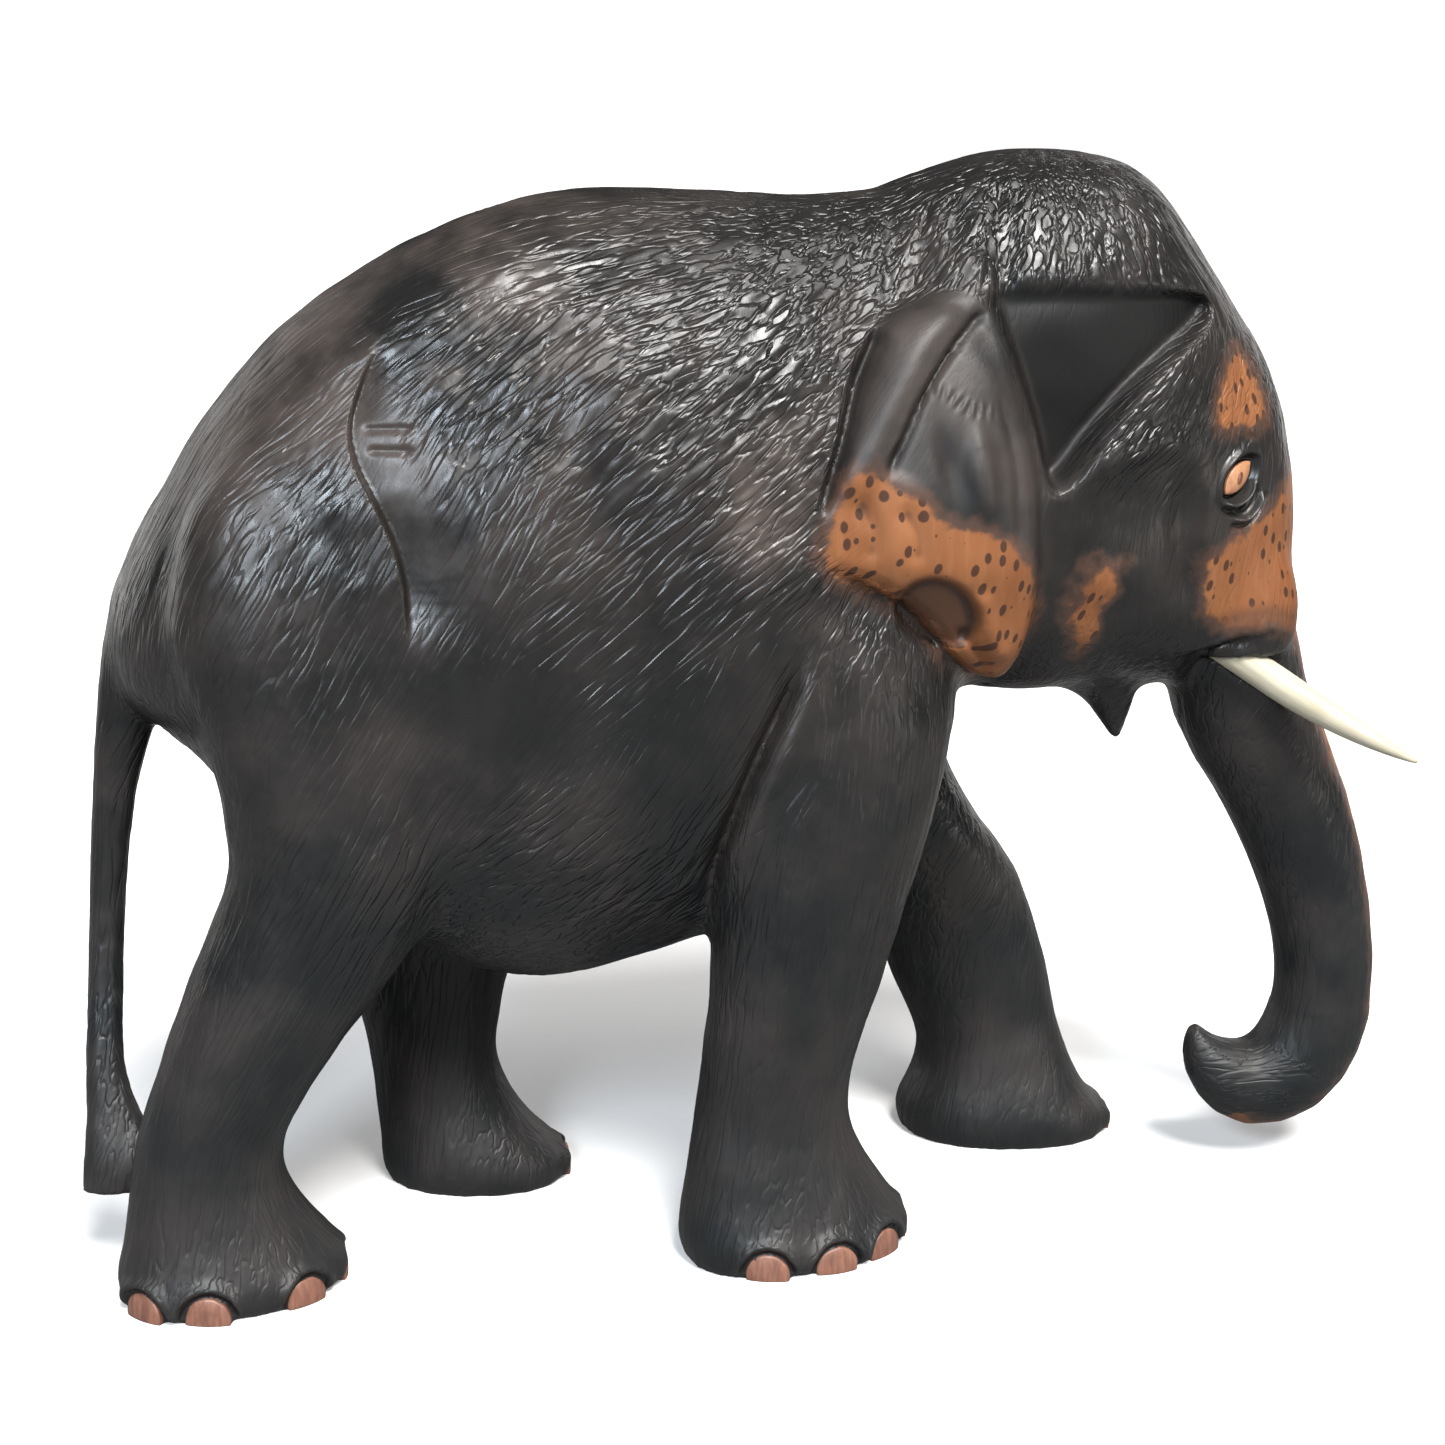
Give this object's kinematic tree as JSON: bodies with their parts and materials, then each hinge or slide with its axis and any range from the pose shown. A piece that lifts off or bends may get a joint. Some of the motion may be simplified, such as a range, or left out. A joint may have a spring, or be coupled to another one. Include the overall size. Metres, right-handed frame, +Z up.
{
  "type": "carved wooden elephant",
  "caption": "Walking elephant statuette carved from one dark wooden block, with push-fit tusks, inlaid eyes and toenails; stands free as a decoration.",
  "frame": {"origin": "on the ground, under the middle of the overall length and width", "axes": "+X to the elephant's front, +Y to its left, +Z up"},
  "size_m": [0.3783, 0.123, 0.2991],
  "materials": {
    "ebony": "near-black wood, hand gouged, with a satin polish",
    "light_wood": "light wood, bare and smooth",
    "pupil_wood": "dark wood, polished",
    "tusk": "cast ivory-coloured resin, satin"
  },
  "bodies": {
    "carving": {"carved_body": "ebony", "eye_right": "light_wood", "eye_left": "light_wood", "pupil_right": "pupil_wood", "pupil_left": "pupil_wood", "toenail_front_right_1": "light_wood", "toenail_front_right_2": "light_wood", "toenail_front_right_3": "light_wood", "toenail_front_right_4": "light_wood", "toenail_front_left_1": "light_wood", "toenail_front_left_2": "light_wood", "toenail_front_left_3": "light_wood", "toenail_front_left_4": "light_wood", "toenail_hind_right_1": "light_wood", "toenail_hind_right_2": "light_wood", "toenail_hind_right_3": "light_wood", "toenail_hind_right_4": "light_wood", "toenail_hind_left_1": "light_wood", "toenail_hind_left_2": "light_wood", "toenail_hind_left_3": "light_wood", "toenail_hind_left_4": "light_wood"},
    "tusk_right": {"tusk_right": "tusk"},
    "tusk_left": {"tusk_left": "tusk"}
  },
  "joints": [
    {"name": "tusk_right_pull", "type": "slide", "parent": "carving", "child": "tusk_right", "axis": [0.7976, -0.2592, -0.5446], "range_m": [0, 0.013]},
    {"name": "tusk_left_pull", "type": "slide", "parent": "carving", "child": "tusk_left", "axis": [0.7976, 0.2592, -0.5446], "range_m": [0, 0.013]}
  ]
}
